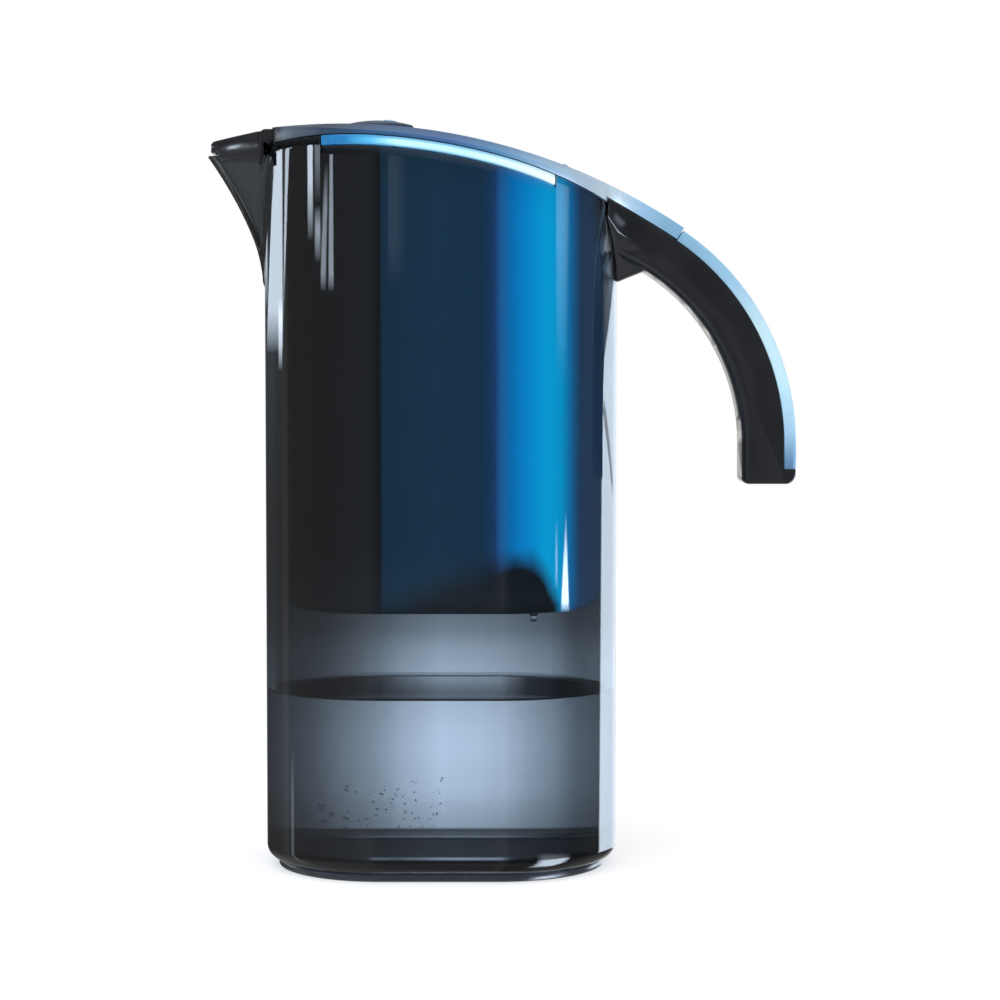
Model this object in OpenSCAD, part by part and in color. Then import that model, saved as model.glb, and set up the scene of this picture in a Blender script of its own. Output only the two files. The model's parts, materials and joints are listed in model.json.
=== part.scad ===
// Water filter jug with a flip lid: a slim tub with a beak spout and a ribbon handle, a filter hopper
// that hangs inside it, a drop-in cartridge, and an arched lid with a fill flap and a pouring flap.
// Millimetres. +Z is up, +X is the handle side, and the origin is the middle of the base pad's underside.

/* [Jug] */
// Radius of the jug's round ends, which is half its width
jug_end_r = 45; // [43:0.5:48]
// Half the length of the jug's flat sides
jug_flat_half = 21.5; // [19:0.5:25]
// Thickness of the jug's wall
jug_wall = 3.2; // [2.6:0.1:3.6]
// Thickness of the jug's floor
jug_floor = 3; // [2.4:0.1:4]
// Radius of the jug's bottom edge
jug_edge_r = 5; // [4:0.5:6]
// Height of the base pad
pad_h = 3; // [2:0.5:4]
// How far the base pad stands in from the jug's side
pad_inset = 4.5; // [4:0.5:7]

/* [Top line] */
// Height of the lid's highest point
crest_z = 280; // [265:1:300]
// Place of the lid's highest point along the jug
crest_x = -36; // [-40:1:-32]
// Radius of the lid's long arc, front to back
top_r = 229; // [222:1:238]
// Radius of the lid's crown from side to side
crown_r = 184; // [176:1:200]
// Depth of the jug's rim below the lid's top line
rim_drop = 7.2; // [7:0.1:7.8]

/* [Spout] */
// How far the spout reaches in front of the jug
spout_reach = 21.7; // [18:0.5:25]
// Height of the spout's keel
spout_h = 46; // [40:1:52]
// Half the spout's width where it leaves the jug
spout_half_w = 17.5; // [16.5:0.5:19]
// Thickness of the spout's wall
spout_wall = 2.2; // [1.8:0.1:2.6]
// How far the keel curves in from a straight line
keel_sag = 2.6; // [1.5:0.1:3.5]
// Depth of the spout's edge below the jug's rim
spout_step = 2.1; // [1.8:0.1:3]

/* [Handle] */
// Radius of the handle's outer arc
handle_r = 96.5; // [92:0.5:101]
// Width of the handle and of the lid's tail
handle_w = 25; // [22:0.5:28]
// Thickness of the handle's grip under its trim
grip_t = 15.7; // [14:0.1:18]
// Thickness of the handle's trim
trim_t = 4.5; // [3.5:0.1:5]
// Length of the straight end of the handle
handle_leg = 14.8; // [10:0.2:22]
// Height of the black end below the trim
chin_h = 5.6; // [5:0.1:8]
// Radius of the grip's inner edges
grip_edge_r = 3; // [2:0.5:4]
// Half the width of the handle's root on the jug
root_half_w = 20; // [18:0.5:22]
// Height of the handle's root on the jug
root_h = 28.5; // [26:0.5:32]

/* [Lid] */
// Thickness of the lid's shell
lid_t = 2.4; // [2:0.1:2.6]
// How far the lid's tail reaches over the handle
tail_over = 25; // [22:0.5:28]
// Thickness of the lid's tail
tail_t = 5.4; // [5:0.1:6]
// How far the lid's flare into its tail reaches behind the jug
flare_len = 9.5; // [7:0.5:12]
// How much wider than the tail the flare is at the jug's back, on each side
flare_out = 4; // [3:0.5:5]
// Height that the tail stands proud of the handle's trim
tail_step = 1.3; // [1:0.1:1.8]
// Depth of the lid's plug inside the hopper
plug_h = 7.6; // [6:0.2:10]
// Thickness of the lid's soft seal
seal_t = 0.9; // [0.7:0.1:1.2]

/* [Flip lid] */
// Distance from the lid's crest back to the flap's front edge
flip_back = 36; // [34:1:40]
// Length of the flap from its front edge to its hinge
flip_len = 46; // [40:1:50]
// Half the width of the flap
flip_half_w = 22; // [20:0.5:25]
// Thickness of the flap
flip_t = 2.2; // [1.8:0.1:2.4]
// Radius of the flap's front corners
flip_corner_r = 10; // [6:1:14]
// Radius of the flap's hinge barrel
barrel_r = 2.4; // [2.2:0.1:2.6]
// Half the length of the flap's hinge barrel
barrel_half = 13; // [11:0.5:15]
// Radius of both hinge pins
pin_r = 1.1; // [0.9:0.1:1.2]

/* [Indicator] */
// Distance from the lid's crest back to the indicator
ind_back = 12.3; // [12:0.1:14]
// Radius of the indicator
ind_r = 13.4; // [12.5:0.1:14]
// Height of the indicator above the lid's crest
ind_rise = 1.8; // [1.4:0.1:2.4]
// Radius of the indicator's lens
lens_r = 9.5; // [9.2:0.1:10]
// Radius of the indicator's button
button_r = 2.4; // [2:0.1:2.8]

/* [Hopper] */
// Depth of the hopper below the rim's highest point
hopper_depth = 174.8; // [155:1:185]
// Thickness of the hopper's wall and floor
hopper_wall = 2; // [1.6:0.1:2.4]
// Gap between the hopper and the jug's wall
hopper_gap = 1.6; // [1.2:0.1:2.2]
// Depth of the pouring channel in front of the hopper
pour_gap = 4.8; // [4.5:0.1:7]
// Radius of the hopper's bottom edge
hopper_edge_r = 9; // [7:0.5:11]
// Half the length of the hopper's side flanges
flange_half = 42.4; // [38:0.2:46]
// Thickness of the hopper's side flanges
flange_t = 3.6; // [3:0.1:4.2]

/* [Cartridge] */
// Place of the cartridge along the jug
cart_x = 20; // [14:1:24]
// Radius of the cartridge's cup
cart_r = 23; // [20:0.5:25]
// Height of the cartridge's cup
cart_h = 70; // [60:1:80]
// Thickness of the cartridge's cup
cart_wall = 1.5; // [1.2:0.1:2]
// Height of the socket that holds the cartridge
socket_h = 22; // [16:1:28]
// Radius of the cartridge's outlet
outlet_r = 8.5; // [7:0.5:10]
// Height of the fin that pulls the cartridge out
fin_h = 14; // [10:1:18]

/* [Clearances] */
// Gap between pieces that move apart
gap = 0.3; // [0.25:0.05:0.4]
// Gap round a flap in its opening
flap_gap = 0.4; // [0.35:0.05:0.6]
// Radial clearance of a hinge pin in its flap
pin_clearance = 0.05; // [0.03:0.01:0.08]

/* [Hidden] */
$fn = 96;

arc_fn = 240;        // segments of the long arcs
far = 400;           // longer than the whole jug
tiny = 0.03;         // clearance of a pin pressed in its ears

// Top line: every arc front to back turns about the same axis, at crest_x and axis_z
axis_z = crest_z - top_r;
rim_r = top_r - rim_drop;
lid_edge_r = rim_r + gap;
flange_low_r = rim_r - flange_t;
function arc_x(r, a) = crest_x + r * sin(a);
function arc_z(r, a) = axis_z + r * cos(a);
function arc_z_at(r, x) = axis_z + sqrt(r * r - (x - crest_x) * (x - crest_x));

jug_front = -(jug_flat_half + jug_end_r);
jug_rear = jug_flat_half + jug_end_r;
jug_inner_r = jug_end_r - jug_wall;
floor_z = pad_h + jug_floor;

// Spout
spout_top = arc_z_at(rim_r, jug_front) - spout_step;
spout_low = spout_top - spout_h;
spout_tip = jug_front - spout_reach;
spout_sink = 0.4;    // how far the spout's sides run into the jug's wall
spout_root = -jug_flat_half - sqrt(jug_end_r * jug_end_r - spout_half_w * spout_half_w) + spout_sink;
spout_levels = 9;
spout_sides = 6;
nose_power = 0.75;   // roundness of the spout in plan
taper_power = 1.6;   // how the spout narrows down its height

// Tail and handle
tail_low_r = top_r - tail_t;
tail_a = asin((jug_rear + tail_over - crest_x) / top_r);
meet_a = 56.2;       // where the handle's outer arc meets the tail
handle_x = arc_x(top_r - tail_step, tail_a) - handle_r * cos(meet_a);
handle_z = arc_z(top_r - tail_step, tail_a) - handle_r * sin(meet_a);
grip_r = handle_r - trim_t;
inner_r = grip_r - grip_t;
leg_low = handle_z - handle_leg;
trim_low = leg_low + chin_h;
trim_edge_r = 1.5;
chin_front_r = 4;
chin_back_r = 2.4;
root_top = arc_z_at(tail_low_r, jug_rear);
root_low = root_top - root_h;
root_tip_half = 5;
root_taper_h = 23;
flare_a = 35;        // where the flare leaves the jug's round end
root_rear = arc_x(tail_low_r, tail_a) - 1;
root_peak_x = jug_rear + 10;
root_peak_z = root_low + 3.8;

// Hopper
hopper_r = jug_inner_r - hopper_gap;
hopper_front = jug_front + jug_wall + pour_gap;
hopper_low = axis_z + rim_r - hopper_depth;
hopper_floor = hopper_low + hopper_wall;
socket_gap = 0.6;
socket_wall = 2;

// Cartridge
cup_low = hopper_floor + gap;
cup_top = cup_low + cart_h;
cup_floor = cup_low + cart_wall;
mesh_t = 1;
cap_skirt = 8;
cap_t = 2.3;
cap_wall = 2.2;
ring_r = 0.6;        // half the thickness of the cartridge's O-ring
ring_z = cup_low + socket_h - 6;

// Lid
plug_in = hopper_wall + gap + seal_t;
plug_wall = 1.8;
plug_low_r = rim_r - plug_h;
deck_r = plug_low_r + 3.8;
deck_t = 1.8;

// Fill flap
flip_front = crest_x + flip_back;
flip_axis_r = top_r - barrel_r;
flip_a = asin((flip_front + flip_len - crest_x) / flip_axis_r);
flip_x = arc_x(flip_axis_r, flip_a);
flip_z = arc_z(flip_axis_r, flip_a);
ear_r = barrel_r + 1.2;
ear_t = 6;
flip_open = 100;      // how far the fill flap opens, in degrees
notch_r = 7;
chute_wall = 1.6;
chute_in = 2.4;
chute_front = flip_front + 2;
chute_rear = flip_x - ear_r - 0.6;

// Spout flap
hood_t = 1.8;
hood_barrel_r = 2.2;
hood_x = jug_front + 2.1;
hood_z = arc_z_at(top_r, hood_x) - 3.6;
hood_front = spout_tip + 1.9;
hood_rise = 5;
hood_low = spout_top - 1.6;
hood_half = 16.4 + (spout_half_w - 17.5);
hood_ear_t = 2;
hood_ear_x = hood_x - 2.8;
lug_low = spout_top - 4.8;
lid_front = hood_x + hood_barrel_r + flap_gap;

// Indicator
ind_x = crest_x + ind_back;
ind_top = crest_z + ind_rise;
ind_low = axis_z + deck_r + gap;
dome_rise = 1.9;
dome_r = (ind_r * ind_r + dome_rise * dome_rise) / (2 * dome_rise);
ledge_r = lens_r - 0.7;
lens_low = ind_top - 3;
cover_t = 1.8;
battery_t = 1.6;
battery_r = 8;
board_low = ind_low + cover_t + battery_t + 0.3;
board_t = 1;
ledge_low = board_low + board_t;
button_x = ind_x + 4.6;
button_travel = 0.8;
button_proud = 0.4;
button_flange_r = button_r + 0.9;

// ---- Shared shapes ----

// Plan with straight sides and round ends
module stadium(r) {
  union() {
    square([2 * jug_flat_half, 2 * r], center = true);
    translate([-jug_flat_half, 0]) circle(r = r);
    translate([jug_flat_half, 0]) circle(r = r);
  }
}

// Half section of a tub with a rounded bottom edge
module tub_section(r, edge, h) {
  union() {
    translate([0, edge]) square([r, h - edge]);
    square([r - edge, 2 * edge]);
    translate([r - edge, edge]) circle(r = edge);
  }
}

// Solid tub of stadium plan, standing on z = low
module tub(r, edge, low, h) {
  translate([0, 0, low]) union() {
    translate([-jug_flat_half, 0, 0]) rotate([0, 0, 90])
      rotate_extrude(angle = 180) tub_section(r, edge, h);
    translate([jug_flat_half, 0, 0]) rotate([0, 0, -90])
      rotate_extrude(angle = 180) tub_section(r, edge, h);
    translate([-jug_flat_half, 0, 0]) rotate([90, 0, 90])
      linear_extrude(2 * jug_flat_half) union() {
        tub_section(r, edge, h);
        mirror([1, 0]) tub_section(r, edge, h);
      }
  }
}

// Everything within r of the top line's axis
module under_arc(r) {
  translate([crest_x, 0, axis_z]) rotate([90, 0, 0])
    cylinder(r = r, h = far, center = true, $fn = arc_fn);
}

// Everything further than r from that axis, between two places along the jug
module above_arc(r, x0, x1) {
  difference() {
    translate([x0, -far / 2, axis_z + r / 2]) cube([x1 - x0, far, far]);
    under_arc(r);
  }
}

// Sweeps a section, drawn as distance from the axis and sideways place, along the top line
module along_top(a0, a1) {
  translate([crest_x, 0, axis_z]) rotate([90, 0, 0]) rotate([0, 0, 90 - a1])
    rotate_extrude(angle = a1 - a0, $fn = arc_fn) children();
}

// Solid under the lid's crowned surface, or a depth below that surface
module crown(depth, a1 = 45) {
  along_top(-16, a1) intersection() {
    translate([top_r - crown_r, 0]) circle(r = crown_r - depth, $fn = arc_fn);
    translate([top_r - 30, -far / 4]) square([60, far / 2]);
  }
}

// Upright prism of a plan
module upright(low = 0) {
  translate([0, 0, low]) linear_extrude(far) children();
}

// Profile seen from the side, drawn in X and Z, through a width
module across(width) {
  rotate([90, 0, 0]) linear_extrude(width, center = true) children();
}

// Cylinder across the jug
module rod(r, half, x, z) {
  translate([x, 0, z]) rotate([90, 0, 0]) cylinder(r = r, h = 2 * half, center = true);
}

// Two rods side by side, mirrored about the middle
module rod_pair(r, from, to, x, z) {
  for (side = [-1, 1])
    translate([x, side * (from + to) / 2, z]) rotate([90, 0, 0])
      cylinder(r = r, h = to - from, center = true);
}

// ---- Jug ----

function keel_x(t) = jug_front + 0.4 - (spout_reach + 0.4) * t + keel_sag * 4 * t * (1 - t);
function spout_w(t) = spout_half_w * pow(t, taper_power);
function nose(x, tip, root, w) = w * pow((x - tip) / (root - tip), nose_power);

// One level of the spout: from the inside round the nose and back
function spout_ring(t, z, inset) =
  let (tip = keel_x(t) + 1.4 * inset, w = max(spout_w(t) - inset, 0.4), root = spout_root)
  concat(
    [[jug_front + 14, -w, z]],
    [for (i = [spout_sides:-1:1])
      let (x = tip + (root - tip) * i / spout_sides) [x, -nose(x, tip, root, w), z]],
    [[tip, 0, z]],
    [for (i = [1:spout_sides])
      let (x = tip + (root - tip) * i / spout_sides) [x, nose(x, tip, root, w), z]],
    [[jug_front + 14, w, z]]);

// Spout from one share of its height to its edge, and straight on by a rise
module spout_solid(inset, t0, rise = 0) {
  n = 2 * spout_sides + 3;
  levels = [for (i = [0:spout_levels]) t0 + (1 - t0) * i / spout_levels];
  points = concat(
    [for (t = levels) each spout_ring(t, spout_low + spout_h * t, inset)],
    rise > 0 ? spout_ring(1, spout_top + rise, inset) : []);
  rings = spout_levels + (rise > 0 ? 1 : 0);
  polyhedron(points, concat(
    [[for (i = [n - 1:-1:0]) i]],
    [for (k = [0:rings - 1], i = [0:n - 1])
      [k * n + i, k * n + (i + 1) % n, (k + 1) * n + (i + 1) % n]],
    [for (k = [0:rings - 1], i = [0:n - 1])
      [k * n + i, (k + 1) * n + (i + 1) % n, (k + 1) * n + i]],
    [[for (i = [0:n - 1]) rings * n + i]]));
}

module jug_body() {
  color([0.35, 0.42, 0.5, 0.5]) difference() {
    union() {
      intersection() {
        tub(jug_end_r, jug_edge_r, pad_h, crest_z);
        under_arc(rim_r);
      }
      spout_solid(0, 0.12);
    }
    tub(jug_inner_r, jug_edge_r - 2, floor_z, crest_z);
    spout_solid(spout_wall, 0.36, 10);
    above_arc(flange_low_r - gap, -flange_half - gap, flange_half + gap);
  }
}

module base_pad() {
  color("dimgray") linear_extrude(pad_h) stadium(jug_end_r - pad_inset);
}

// ---- Handle ----

// Handle's section, drawn as distance from the bend's centre and sideways place
module grip_section() {
  half = handle_w / 2;
  union() {
    translate([inner_r + grip_edge_r, -half]) square([grip_t - grip_edge_r, handle_w]);
    translate([inner_r, -half + grip_edge_r]) square([grip_t, handle_w - 2 * grip_edge_r]);
    for (side = [-1, 1])
      translate([inner_r + grip_edge_r, side * (half - grip_edge_r)]) circle(r = grip_edge_r);
  }
}

module trim_section() {
  half = handle_w / 2;
  union() {
    translate([grip_r, -half]) square([trim_t - trim_edge_r, handle_w]);
    translate([grip_r, -half + trim_edge_r]) square([trim_t, handle_w - 2 * trim_edge_r]);
    for (side = [-1, 1])
      translate([handle_r - trim_edge_r, side * (half - trim_edge_r)]) circle(r = trim_edge_r);
  }
}

// Bends a section from the level end upwards
module bend(a1) {
  translate([handle_x, 0, handle_z]) rotate([90, 0, 0]) rotate_extrude(angle = a1, $fn = arc_fn)
    children();
}

// Runs a section straight down from the bend
module leg(low) {
  translate([handle_x, 0, low]) linear_extrude(handle_z - low) children();
}

// Plan of the tail: a ribbon that flares into the jug's round end
module tail_plan() {
  half = handle_w / 2;
  start_r = jug_end_r - 1.5;
  right = [[jug_flat_half + start_r * cos(flare_a), start_r * sin(flare_a)],
    [jug_rear, half + flare_out], [jug_rear + flare_len, half], [jug_rear + far / 4, half]];
  polygon(concat(
    [[jug_flat_half, -start_r * sin(flare_a)]], [for (p = right) [p[0], -p[1]]],
    [for (i = [3:-1:0]) right[i]], [[jug_flat_half, start_r * sin(flare_a)]]));
}

// Wedge of space past the tail's end, widened by a gap
module past_tail(room) {
  translate([arc_x(top_r, tail_a) - room * cos(tail_a), 0, arc_z(top_r, tail_a) + room * sin(tail_a)])
    rotate([0, tail_a, 0]) translate([0, -far / 2, -far / 2]) cube([far, far, far]);
}

module chin() {
  width = handle_r - inner_r;
  intersection() {
    translate([handle_x + inner_r, 0, leg_low]) across(handle_w) union() {
      translate([chin_back_r, 0]) square([width - chin_back_r - chin_front_r, chin_h]);
      translate([0, chin_back_r]) square([chin_back_r, chin_h - chin_back_r]);
      translate([width - chin_front_r, chin_front_r]) square([chin_front_r, chin_h - chin_front_r]);
      translate([chin_back_r, chin_back_r]) circle(r = chin_back_r);
      intersection() {
        translate([width - chin_front_r, chin_front_r]) circle(r = chin_front_r);
        square([far, chin_h]);
      }
    }
    translate([handle_x, 0, 0]) linear_extrude(far) union() {
      grip_section();
      trim_section();
    }
  }
}

// Flared root against the jug's back
module root() {
  intersection() {
    across(far) polygon([
      [jug_rear - 10, root_low], [jug_rear + 0.5, root_low], [root_peak_x, root_peak_z],
      [root_rear, root_peak_z], [root_rear, crest_z],
      [jug_rear - 10, crest_z]]);
    rotate([90, 0, 90]) linear_extrude(far) polygon([
      [-root_half_w, crest_z], [-root_half_w, root_low + root_taper_h],
      [-root_tip_half, root_low], [root_tip_half, root_low],
      [root_half_w, root_low + root_taper_h], [root_half_w, crest_z]]);
    upright() tail_plan();
  }
}

module handle_core() {
  color("#1c1d20") difference() {
    union() {
      bend(76) grip_section();
      leg(trim_low) grip_section();
      chin();
      root();
    }
    upright() stadium(jug_end_r);
    intersection() {
      upright() stadium(jug_end_r + gap);
      above_arc(rim_r, 0, jug_rear + gap);
    }
    above_arc(tail_low_r - gap, 0, arc_x(tail_low_r, tail_a) + 1);
  }
}

module handle_trim() {
  color("lightsteelblue") union() {
    intersection() {
      bend(meet_a + 8) trim_section();
      past_tail(-gap);
    }
    leg(trim_low) trim_section();
  }
}

// ---- Hopper ----

// Everything behind the hopper's flat front, with its rounded foot
module hopper_cut(inset) {
  front = hopper_front + inset;
  low = hopper_low + inset;
  edge = hopper_edge_r - inset;
  across(far) union() {
    translate([front + edge, low]) square([far, far]);
    translate([front, low + edge]) square([far, far]);
    translate([front + edge, low + edge]) circle(r = edge);
  }
}

module hopper_solid(inset) {
  intersection() {
    tub(hopper_r - inset, hopper_edge_r - inset, hopper_low + inset, crest_z - hopper_low);
    hopper_cut(inset);
  }
}

module hopper() {
  color("#0d6fb4") difference() {
    union() {
      intersection() {
        difference() {
          hopper_solid(0);
          hopper_solid(hopper_wall);
        }
        under_arc(rim_r);
      }
      intersection() {
        upright(hopper_floor) difference() {
          stadium(jug_end_r);
          stadium(hopper_r - hopper_wall / 2);
        }
        translate([-flange_half, -far / 2, 0]) cube([2 * flange_half, far, far]);
        under_arc(rim_r);
        above_arc(flange_low_r, -far / 2, far / 2);
      }
      translate([cart_x, 0, hopper_floor])
        cylinder(r = cart_r + socket_gap + socket_wall, h = socket_h);
    }
    translate([cart_x, 0, hopper_floor]) cylinder(r = cart_r + socket_gap, h = far);
    translate([cart_x, 0, hopper_low - 1]) cylinder(r = outlet_r + gap, h = far);
  }
}

// ---- Cartridge ----

module cartridge_cup() {
  color("white") translate([cart_x, 0, 0]) difference() {
    union() {
      translate([0, 0, cup_low]) cylinder(r = cart_r, h = cart_h);
      translate([0, 0, hopper_low + gap]) cylinder(r = outlet_r, h = hopper_wall + 1);
    }
    translate([0, 0, cup_floor]) cylinder(r = cart_r - cart_wall, h = cart_h);
    translate([0, 0, ring_z]) rotate_extrude()
      translate([cart_r + gap - 2 * ring_r, -ring_r]) square([far, 2 * ring_r]);
    for (a = [0:60:300]) rotate([0, 0, a])
      translate([outlet_r * 0.6, 0, hopper_low - 1]) cylinder(r = 1.2, h = 10, $fn = 24);
  }
}

module cartridge_seal() {
  color("#3a3a3a") translate([cart_x, 0, ring_z]) rotate_extrude()
    translate([cart_r + gap - ring_r, 0]) circle(r = ring_r, $fn = 32);
}

module mesh_disc(low) {
  color("lightgray") translate([cart_x, 0, low]) difference() {
    cylinder(r = cart_r - cart_wall - 0.1, h = mesh_t);
    for (ring = [1:3]) for (a = [0:60 / ring:359])
      rotate([0, 0, a]) translate([ring * (cart_r - 4) / 3.4, 0, -1]) cylinder(r = 1.1, h = 4, $fn = 16);
  }
}

module mesh_bottom() { mesh_disc(cup_floor); }
module mesh_top() { mesh_disc(cup_top - 4.5 - mesh_t); }

module filter_media() {
  color("#2b2724") translate([cart_x, 0, cup_floor + mesh_t])
    cylinder(r = cart_r - cart_wall - 0.2, h = cup_top - 4.5 - 2 * mesh_t - cup_floor);
}

module cartridge_cap() {
  top = cup_top + 0.2 + cap_t;
  outer = cart_r + 0.2 + cap_wall;
  fin_half = cart_r * 0.62;
  color("white") translate([cart_x, 0, 0]) union() {
    difference() {
      translate([0, 0, cup_top - cap_skirt]) cylinder(r = outer, h = cap_skirt + 0.2 + cap_t);
      translate([0, 0, cup_top - cap_skirt - 1]) cylinder(r = cart_r + 0.2, h = cap_skirt + 1.2);
      for (a = [15:30:345]) rotate([0, 0, a])
        translate([cart_r * 0.45, -1.1, cup_top - 1]) cube([cart_r * 0.38, 2.2, 8]);
    }
    translate([0, 0, top]) across(3) union() {
      translate([-fin_half, -0.5]) square([2 * fin_half, fin_h - 5.5]);
      translate([-fin_half + 6, -0.5]) square([2 * fin_half - 12, fin_h + 0.5]);
      for (side = [-1, 1]) translate([side * (fin_half - 6), fin_h - 6]) circle(r = 6);
    }
  }
}

// ---- Lid ----

// Plan of the hopper's mouth, set in from the hopper's outside
module mouth(inset) {
  intersection() {
    stadium(hopper_r - inset);
    translate([hopper_front + inset, -far / 2]) square([far, far]);
  }
}

// Plan of the fill flap, grown by a margin
module flip_plan(grow, rear) {
  r = flip_corner_r + grow;
  half = flip_half_w + grow;
  front = flip_front - grow;
  union() {
    translate([front, -half + r]) square([rear - front, 2 * (half - r)]);
    translate([front + r, -half]) square([rear - front - r, 2 * half]);
    for (side = [-1, 1]) translate([front + r, side * (half - r)]) circle(r = r);
  }
}

// Plan of the chute that leads from the fill flap into the hopper, grown by a margin
module chute_plan(grow) {
  r = flip_corner_r - chute_in + grow;
  half = flip_half_w - chute_in + grow;
  front = chute_front - grow;
  rear = chute_rear + grow;
  union() {
    translate([front, -half + r]) square([rear - front, 2 * (half - r)]);
    translate([front + r, -half]) square([rear - front - 2 * r, 2 * half]);
    for (side = [-1, 1], x = [front + r, rear - r])
      translate([x, side * (half - r)]) circle(r = r);
  }
}

// Plan of the whole lid: over the jug, and out along the tail
module lid_plan() {
  union() {
    intersection() {
      stadium(jug_end_r);
      translate([lid_front, -far / 2]) square([far, far]);
    }
    tail_plan();
  }
}

module hood_ears() {
  for (side = [-1, 1])
    translate([0, side * (hood_half + gap + 0.1 + hood_ear_t / 2), 0]) across(hood_ear_t) union() {
      translate([hood_x, hood_z]) circle(r = barrel_r);
      translate([hood_x, hood_z - 1.6]) square([lid_front + 1.8 - hood_x, 1.6 + barrel_r]);
      polygon([[hood_x - barrel_r, hood_z], [hood_x - 1, hood_z - 2],
        [hood_x - 1.2, lug_low + 3], [hood_x - 1.8, lug_low], [hood_x - 2.9, lug_low]]);
    }
}

// Room for the fill flap: its outline, less the round ends of its hinge, and a slope to lean back on
module flip_room() {
  half = barrel_half + flap_gap;
  difference() {
    upright(axis_z) flip_plan(flap_gap, flip_x);
    rod_pair(ear_r, half, far / 4, flip_x, flip_z);
  }
  rod(barrel_r + flap_gap, half, flip_x, flip_z);
  translate([flip_x, 0, flip_z]) rotate([0, flip_a + flip_open, 0])
    translate([-2 * ear_r, -half, 0]) cube([2 * ear_r, 2 * half, barrel_r + flap_gap]);
}

module lid_shell() {
  color("#33536e") difference() {
    union() {
      difference() {
        intersection() {
          crown(0, tail_a);
          upright() lid_plan();
        }
        under_arc(lid_edge_r);
        intersection() {
          under_arc(tail_low_r);
          upright() difference() {
            translate([0, -far / 4]) square([far, far / 2]);
            stadium(jug_end_r);
          }
        }
      }
      hood_ears();
      intersection() {
        rod_pair(ear_r, barrel_half + flap_gap, barrel_half + flap_gap + ear_t, flip_x, flip_z);
        crown(0);
      }
    }
    difference() {
      intersection() {
        crown(lid_t);
        upright() intersection() {
          stadium(jug_end_r - lid_t);
          translate([lid_front + lid_t, -far / 2]) square([far, far]);
        }
      }
      rod_pair(ear_r, barrel_half + flap_gap, barrel_half + flap_gap + ear_t, flip_x, flip_z);
    }
    flip_room();
    translate([flip_front, 0, axis_z]) cylinder(r = notch_r, h = far);
    translate([ind_x, 0, axis_z]) cylinder(r = ind_r + 0.1, h = far);
    rod(pin_r + tiny, barrel_half + ear_t + 1, flip_x, flip_z);
    rod(pin_r + tiny, hood_half + 10, hood_x, hood_z);
  }
}

module lid_liner() {
  color("gainsboro") difference() {
    intersection() {
      union() {
        upright(hopper_floor) difference() {
          mouth(plug_in);
          mouth(plug_in + plug_wall);
        }
        intersection() {
          upright(hopper_floor) mouth(plug_in + plug_wall / 2);
          difference() {
            under_arc(deck_r);
            under_arc(deck_r - deck_t);
          }
        }
        difference() {
          upright(hopper_floor) chute_plan(chute_wall);
          crown_top_trim();
        }
      }
      crown(lid_t);
      above_arc(plug_low_r, -far / 2, far / 2);
    }
    upright(hopper_floor) chute_plan(0);
    rod_pair(ear_r + gap, barrel_half, barrel_half + ear_t + 1, flip_x, flip_z);
  }
}

// What the chute's collar leaves free under the flap
module crown_top_trim() {
  difference() {
    translate([chute_front - 20, -far / 2, axis_z]) cube([far, far, far]);
    crown(flip_t + gap);
  }
}

module lid_seal() {
  color("#3a3a3a") intersection() {
    upright(hopper_floor) difference() {
      mouth(hopper_wall + gap);
      mouth(plug_in);
    }
    difference() {
      under_arc(plug_low_r + 5);
      under_arc(plug_low_r + 2);
    }
  }
}

// ---- Indicator ----

module dome(rise = 0) {
  translate([ind_x, 0, ind_top - dome_r + rise]) sphere(r = dome_r, $fn = arc_fn);
}

module indicator_bezel() {
  color("#23303c") difference() {
    intersection() {
      translate([ind_x, 0, ind_low]) cylinder(r = ind_r, h = ind_top - ind_low + 1);
      dome();
    }
    translate([ind_x, 0, ind_low - 1]) cylinder(r = ledge_r, h = far);
    translate([ind_x, 0, ind_low - 1]) cylinder(r = lens_r + 0.1, h = ledge_low - ind_low + 1);
    translate([ind_x, 0, lens_low]) cylinder(r = lens_r + 0.1, h = far);
  }
}

module indicator_lens() {
  color("#5d7d97") difference() {
    intersection() {
      translate([ind_x, 0, lens_low]) cylinder(r = lens_r, h = 10);
      dome();
    }
    translate([button_x, 0, lens_low - 1]) cylinder(r = button_r + gap, h = 20);
  }
}

module indicator_button() {
  foot = ledge_low + button_travel + 0.4;
  color("silver") union() {
    intersection() {
      translate([button_x, 0, foot]) cylinder(r = button_r, h = 20);
      dome(button_proud);
    }
    translate([button_x, 0, lens_low - gap - 1]) cylinder(r = button_flange_r, h = 1);
  }
}

module indicator_display() {
  color("#8d9b86") translate([ind_x - 8, -3.4, ledge_low]) cube([7.4, 6.8, 2]);
}

module indicator_board() {
  color("#1f5c34") translate([ind_x, 0, board_low]) cylinder(r = lens_r, h = board_t);
}

module indicator_battery() {
  color("silver") translate([ind_x, 0, ind_low + cover_t]) cylinder(r = battery_r, h = battery_t);
}

module indicator_cover() {
  color("#2f2f31") translate([ind_x, 0, ind_low]) difference() {
    cylinder(r = lens_r, h = cover_t);
    translate([-5, -0.8, -1]) cube([10, 1.6, 1.8]);
  }
}

// ---- Flaps ----

module fill_flap() {
  color("#33536e") difference() {
    union() {
      difference() {
        intersection() {
          crown(0);
          upright(axis_z) flip_plan(0, flip_x);
        }
        crown(flip_t);
        rod_pair(ear_r + flap_gap, barrel_half, far / 4, flip_x, flip_z);
      }
      rod(barrel_r, barrel_half, flip_x, flip_z);
    }
    rod(pin_r + pin_clearance, far / 4, flip_x, flip_z);
  }
}

module fill_flap_pin() {
  color("silver") rod(pin_r, barrel_half + ear_t, flip_x, flip_z);
}

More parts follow.
